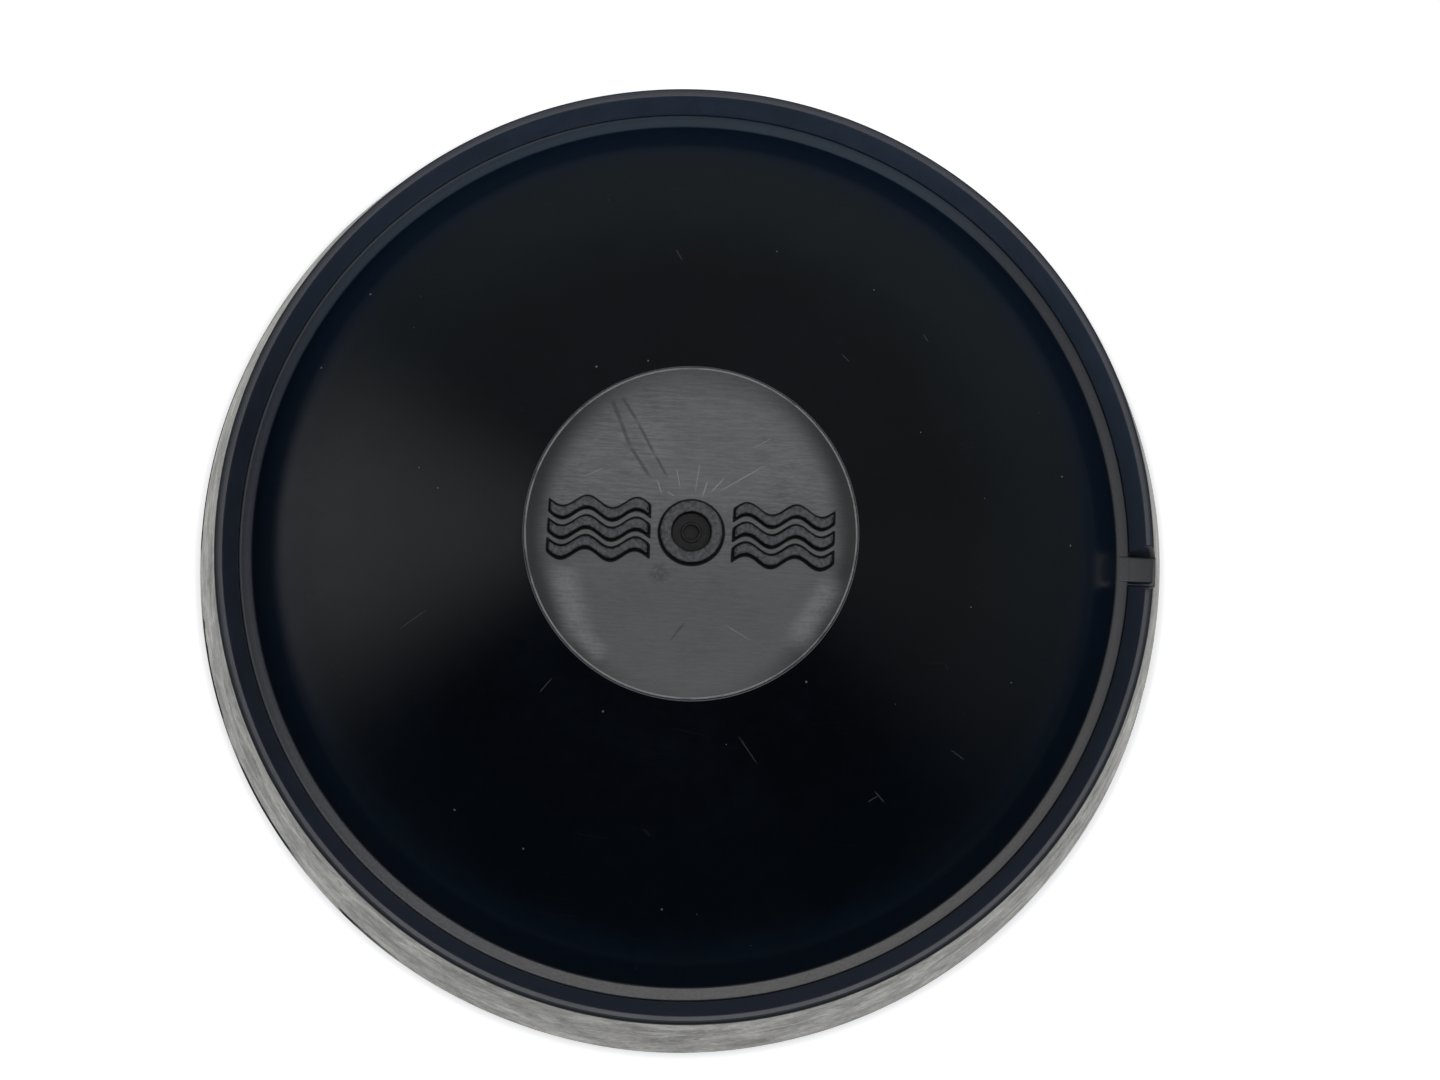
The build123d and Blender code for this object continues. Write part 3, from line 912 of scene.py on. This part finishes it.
def disc_shade(tree):
    point = tree.point_mm()
    x, y, z = tree.xyz(point)
    radius = hypot(x, y)
    plate = z.step(start=37.95, end=37.86)
    top = z.step(start=38.60, end=38.70)

    # fine brush lines along X
    brush = point.scaled(x=0.34, y=3.4, z=1.0).noise(1.0, detail=6.0, rough=0.76)
    brush_fine = point.scaled(x=1.1, y=7.0, z=1.0).noise(1.0, detail=5.0, rough=0.78)
    blot = point.noise(scale=0.16, rough=0.6, warp=0.5)
    coarse = point.noise(scale=2.2, rough=0.75)

    # painted shade: darker to the left and right of the plate, where its edge turns away from the
    # light
    side = abs(x)
    side_edge_shade = ((radius - side * -0.12).step(start=16.4, end=19.4)
                 * side.step(start=5.0, end=15.0, first=0.35))

    base = blot.step(start=0.35, end=0.65).mix(off=(0.104, 0.104, 0.105), on=grey(0.156))
    base = base.tint(brush.step(start=0.38, end=0.66, last=0.90), to=grey(0.262))
    base = base.tint(brush_fine.step(start=0.50, end=0.70), to=(0.300, 0.300, 0.299), amount=0.55)
    base = base.tint(brush_fine.step(start=0.46, end=0.30), to=(0.055, 0.055, 0.056), amount=0.50)
    base = base.tint(y.step(start=5.0, end=-8.0, last=0.58), to=grey(0.066))
    base = base.tint(hypot(x - 1.0, y - 8.0).step(start=9.5, end=3.0, last=0.35), to=grey(0.215))
    # painted shade on the back edge of the plate, where it turns away from the light
    rim_dark = radius.step(start=13.6, end=17.4) * y.step(start=-2.0, end=3.0)
    base = base.tint(rim_dark, to=(0.050, 0.050, 0.052), amount=0.50)
    base = base.tint(side_edge_shade, to=(0.020, 0.020, 0.021), amount=0.92)

    # paler handled area beside the run marks
    rub = (hypot(x + 5.2, y - 9.4).step(start=4.4, end=0.8)
           * brush.step(start=0.34, end=0.60))
    base = base.tint(rub, to=(0.34, 0.34, 0.335), amount=0.42)
    # worn crescents: front left and front right
    worn = strokes(x, y, DISC_WORN, soft=0.9)
    worn = worn * (brush + coarse * 0.5).step(start=0.50, end=0.90, first=0.25)
    base = base.tint(worn, to=grey(0.36), amount=0.66)

    # dark run marks with a paler band between them, and a smudge
    runs = strokes(x, y, DISC_RUNS)
    base = base.tint(strokes(x, y, DISC_PALE), to=grey(0.13), amount=plate * 0.28)
    base = base.tint(runs, to=(0.022, 0.022, 0.024), amount=plate * 0.62)
    smudge = hypot(x + 3.3, y + 4.6).step(start=1.5, end=0.5) * coarse.step(start=0.40, end=0.55)
    base = base.tint(smudge, to=(0.02, 0.02, 0.022), amount=plate * 0.6)
    scratches = strokes(x, y, DISC_SCRATCHES) * plate
    base = base.tint(scratches, to=(0.46, 0.46, 0.455), amount=0.85)

    # raised pattern: darker and grainier; painted shade in the corner round each bar
    reach = y.ramp(start=-3.5, end=3.5, first=0.08, last=0.0)
    relief_crevice_shade = (relief_distance(x, y, radius) - reach).step(start=0.24, end=0.12) * plate
    base = base.tint(relief_crevice_shade, to=(0.006, 0.006, 0.007), amount=0.9)
    relief = coarse.step(start=0.38, end=0.62).mix(
        off=(0.050, 0.050, 0.052), on=(0.150, 0.150, 0.151))
    base = base.tint(1.0 - plate, to=relief)
    # painted shade: the side walls of the bars are made near black
    bar_wall_shade = (1.0 - plate) * (1.0 - top)
    base = base.tint(bar_wall_shade, to=grey(0.006), amount=0.92)
    # painted shade: the gate recess is darkened
    gate = radius.step(start=2.3, end=2.05)
    base = base.tint(gate, to=(0.010, 0.010, 0.011), amount=0.85)
    # painted highlight: thin pale line where the rounded edge catches the light
    edge = radius.step(start=17.74, end=17.81) * z.step(start=37.55, end=37.66)
    edge = edge * point.noise(scale=0.30, detail=3.0, rough=0.6).step(
        start=0.30, end=0.50, first=0.45)
    base = base.tint(edge, to=(0.42, 0.42, 0.415), amount=0.95)

    rough = (1.0 - plate).lerp(off=brush.ramp(first=0.36, last=0.47),
                               on=coarse.ramp(first=0.42, last=0.60))
    dull = most([relief_crevice_shade, bar_wall_shade * 0.9, gate * 0.85, side_edge_shade * 0.45])
    height = (1.0 - plate).lerp(off=brush * 0.55 + brush_fine * 0.25, on=coarse * 1.8)
    height = height - scratches.at_least(runs) * 0.4
    return {
        "Base Color": base,
        "Roughness": rough + relief_crevice_shade * 0.3,
        "IOR": 1.5,
        "Specular IOR Level": dull.lerp(off=0.5, on=0.04),
        "Normal": height.bump(strength=0.45, depth=0.05),
    }


# ---------------------------------------------------------------------------
# Parts inside
# ---------------------------------------------------------------------------
def frame_shade(tree):
    point = tree.point_mm()
    flow = point.scaled(x=0.06, y=0.06, z=0.5).noise(1.0, rough=0.6, warp=1.0)
    spark = point.noise(scale=4.0, detail=3.0, rough=0.7)
    base = flow.mix(off=(0.030, 0.030, 0.032), on=(0.052, 0.052, 0.054))
    return {
        "Base Color": base.tint(spark.step(start=0.62, end=0.78), to=(0.075, 0.075, 0.077)),
        "Roughness": spark.ramp(first=0.42, last=0.58),
        "Normal": (spark * 0.6 + flow).bump(strength=0.35, depth=0.06),
    }


def steel_shade(tree):
    point = tree.point_mm()
    turning = point.scaled(x=1.2, y=1.2, z=14.0).noise(1.0, detail=3.0, rough=0.6)
    cloud = point.noise(scale=0.9, rough=0.65)
    spots = point.noise(scale=2.4, detail=3.0, rough=0.7).step(start=0.60, end=0.70)
    base = cloud.mix(off=(0.50, 0.51, 0.53), on=(0.70, 0.70, 0.69))
    return {
        "Base Color": base.tint(spots, to=(0.22, 0.20, 0.17), amount=0.45),
        "Metallic": 1.0,
        "Roughness": turning.ramp(first=0.22, last=0.38) + spots * 0.2,
        "Normal": (turning * 0.6 + cloud * 0.4).bump(strength=0.3, depth=0.03),
    }


def brass_shade(tree):
    point = tree.point_mm()
    turning = point.scaled(x=0.6, y=0.6, z=10.0).noise(1.0, detail=3.0, rough=0.6)
    tarnish = point.noise(scale=0.7, rough=0.6)
    return {
        "Base Color": tarnish.mix(off=(0.72, 0.55, 0.25), on=(0.50, 0.36, 0.16)),
        "Metallic": 1.0,
        "Roughness": turning.ramp(first=0.25, last=0.42),
        "Normal": turning.bump(strength=0.3, depth=0.03),
    }


def washer_shade(tree):
    grain = tree.point_mm().noise(scale=3.0, rough=0.7)
    return {
        "Base Color": grain.mix(off=grey(0.018), on=grey(0.034)),
        "Roughness": grain.ramp(first=0.6, last=0.8),
        "Normal": grain.bump(strength=0.4, depth=0.05),
    }


def dress_inner_parts():
    """Paints the CAD pieces inside and softens their edges."""
    frame = make_material("moulded_frame", frame_shade)
    steel = make_material("zinc_steel", steel_shade)
    brass = make_material("turned_brass", brass_shade)
    washer = make_material("washer_rubber", washer_shade)
    for name, material in (
        ("inner_frame", frame),
        ("clamp_ring", frame),
        ("clamp_screws", steel),
        ("centre_screw", steel),
        ("threaded_insert", brass),
        ("sealing_washer", washer),
    ):
        ob = NODES[name]
        paint(ob, material)
        weld = ob.modifiers.new("weld", "WELD")
        weld.merge_threshold = 1e-6
        bevel = ob.modifiers.new("edges", "BEVEL")
        bevel.width = 0.00012
        bevel.segments = 2
        bevel.limit_method = "ANGLE"
        bevel.angle_limit = math.radians(38)


# ---------------------------------------------------------------------------
# Pale floor
# ---------------------------------------------------------------------------
def floor_material():
    material = bpy.data.materials.new("pale_floor")
    tree = Tree(material)
    point = tree.point_mm()
    x, y, _ = tree.xyz(point)
    radius = hypot(x, y)
    cloud = point.noise(scale=0.02, detail=3.0)
    diffuse = tree.value("ShaderNodeBsdfDiffuse", {
        "Color": cloud.mix(off=grey(0.84), on=(0.88, 0.88, 0.875))})
    # painted contact shadow: the glow is weaker right round the foot
    glow_with_contact_shadow = tree.value("ShaderNodeEmission", {
        "Color": grey(1.0),
        "Strength": radius.step(start=60.0, end=61.3, first=0.52, last=0.80)})
    shown = tree.value("ShaderNodeAddShader", {0: diffuse, 1: glow_with_contact_shadow})
    # what the object itself sees of the floor: bright close by, dim further off
    near = radius.step(start=100.0, end=68.0, last=0.98)
    far = radius.step(start=400.0, end=80.0, first=0.06, last=0.18)
    seen = tree.value("ShaderNodeEmission", {"Color": (1.0, 0.996, 0.962), "Strength": near + far})
    camera_ray = tree.value("ShaderNodeLightPath", out="Is Camera Ray")
    above = tree.value("ShaderNodeMixShader", {0: camera_ray, 1: seen, 2: shown})
    # from below the floor is clear, so that the underside can be looked at
    clear = tree.value("ShaderNodeBsdfTransparent")
    backfacing = tree.value("ShaderNodeNewGeometry", out="Backfacing")
    shader = tree.value("ShaderNodeMixShader", {0: backfacing, 1: above, 2: clear})
    tree.node("ShaderNodeOutputMaterial", {0: shader})
    return material


def build_floor():
    half = 3    # metres
    corners = [(-half, -half, 0), (half, -half, 0), (half, half, 0), (-half, half, 0)]
    mesh = bpy.data.meshes.new("floor")
    mesh.from_pydata(corners, [], [(0, 1, 2, 3)])
    floor = bpy.data.objects.new("floor", mesh)
    scene.collection.objects.link(floor)
    floor.location = (0, 0, -0.00005)
    mesh.materials.append(floor_material())
    return floor


# ---------------------------------------------------------------------------
# Soft studio surround: a bright ceiling panel, a soft window to the left, a dim room
# ---------------------------------------------------------------------------
def direction(azimuth, elevation):
    turn, rise = math.radians(azimuth), math.radians(elevation)
    return (math.cos(turn) * math.cos(rise), math.sin(turn) * math.cos(rise), math.sin(rise))


# direction, angle from it where the light begins, angle where it is full, brightness
PANELS = (
    ((0.035, -0.165, 1.0), 21.0, 6.0, 3.1),                             # ceiling panel
    ((0.14, 0.24, 1.0), 34.0, 6.0, 0.80),                               # its spill to the back
    (direction(azimuth=175, elevation=22), 34.0, 6.0, 0.62),            # window on the left
    (direction(azimuth=78, elevation=24), 84.0, 40.0, 0.135),           # room at the back
    (direction(azimuth=-8, elevation=30), 30.0, 6.0, 0.12),             # wall on the right
)
AMBIENT = 0.018


def panel_light(tree, generated, row):
    towards, start, full, brightness = row
    cosine = tree.value("ShaderNodeVectorMath", {0: generated, 1: Vector(towards).normalized()},
                        out="Value", operation="DOT_PRODUCT")
    degrees = cosine.at_most(1.0).math("ARCCOSINE") * (180 / math.pi)
    return degrees.step(start=start, end=full) * brightness


def build_world():
    world = bpy.data.worlds.new("studio")
    scene.world = world
    tree = Tree(world)
    generated = tree.value("ShaderNodeTexCoord", out="Generated")
    lights = [panel_light(tree, generated, row) for row in PANELS]
    total = lights[0]
    for light in lights[1:] + [AMBIENT]:
        total = total + light
    camera_ray = tree.value("ShaderNodeLightPath", out="Is Camera Ray")
    studio = tree.value("ShaderNodeBackground", {
        "Color": (0.995, 0.995, 1.0), "Strength": camera_ray.lerp(off=total, on=1.06)})
    dusk = tree.value("ShaderNodeBackground", {
        "Color": (0.10, 0.45, 1.0), "Strength": camera_ray.lerp(off=0.024, on=0.0)})
    both = tree.value("ShaderNodeAddShader", {0: studio, 1: dusk})
    tree.node("ShaderNodeOutputWorld", {0: both})


# ---------------------------------------------------------------------------
# Camera: looks down from above, with +Y at the top of the view
# ---------------------------------------------------------------------------
CAMERA_LENS = 54.075                        # on a sensor 36 mm wide
RIM_CENTRE = (-3.683601, 0.736720, 248.6)   # seen from the camera: right, down, ahead, in mm
TILT_X, TILT_Y, ROLL = math.radians(-2.173), math.radians(5.743), math.radians(2.55)


def build_camera():
    data = bpy.data.cameras.new("camera")
    camera = bpy.data.objects.new("camera", data)
    scene.collection.objects.link(camera)
    data.sensor_width = 36.0
    data.lens = CAMERA_LENS
    data.clip_start, data.clip_end = 0.01, 50.0
    angle = math.hypot(TILT_X, TILT_Y)
    tilt = Matrix.Rotation(angle, 3, Vector((-TILT_Y, TILT_X, 0)) / angle)
    flip = Matrix(((1, 0, 0), (0, -1, 0), (0, 0, -1)))
    # from the right, down, ahead axes to the world
    to_world = (tilt @ Matrix.Rotation(ROLL, 3, "Z") @ flip).transposed()
    place = (Vector((0, 0, RIM_Z)) - to_world @ Vector(RIM_CENTRE)) * 0.001
    camera.matrix_world = Matrix.Translation(place) @ (to_world @ flip).to_4x4()
    scene.camera = camera


# ---------------------------------------------------------------------------
# Assembly
# ---------------------------------------------------------------------------
dome = build_dome()
cup = build_cup()
cap = build_cap()
for ob in (dome, cup, cap):
    ob.data.transform(Matrix.Scale(0.001, 4))
    ob.data.update()

paint(dome, make_material("dome_gloss", dome_shade))
paint(cup, make_material("cup_rubber_satin", rubber_shade))
paint(cap, make_material("crown_disc_satin", disc_shade))
dress_inner_parts()

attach(dome, "head")
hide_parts("palm_dome")
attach(cap, "head")
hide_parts("crown_disc")
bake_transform(cup)
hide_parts("cup_lip", "cup_wall", "cup_collar")

build_floor()
build_world()
build_camera()
scene.view_settings.view_transform = "Standard"

bpy.context.view_layer.update()
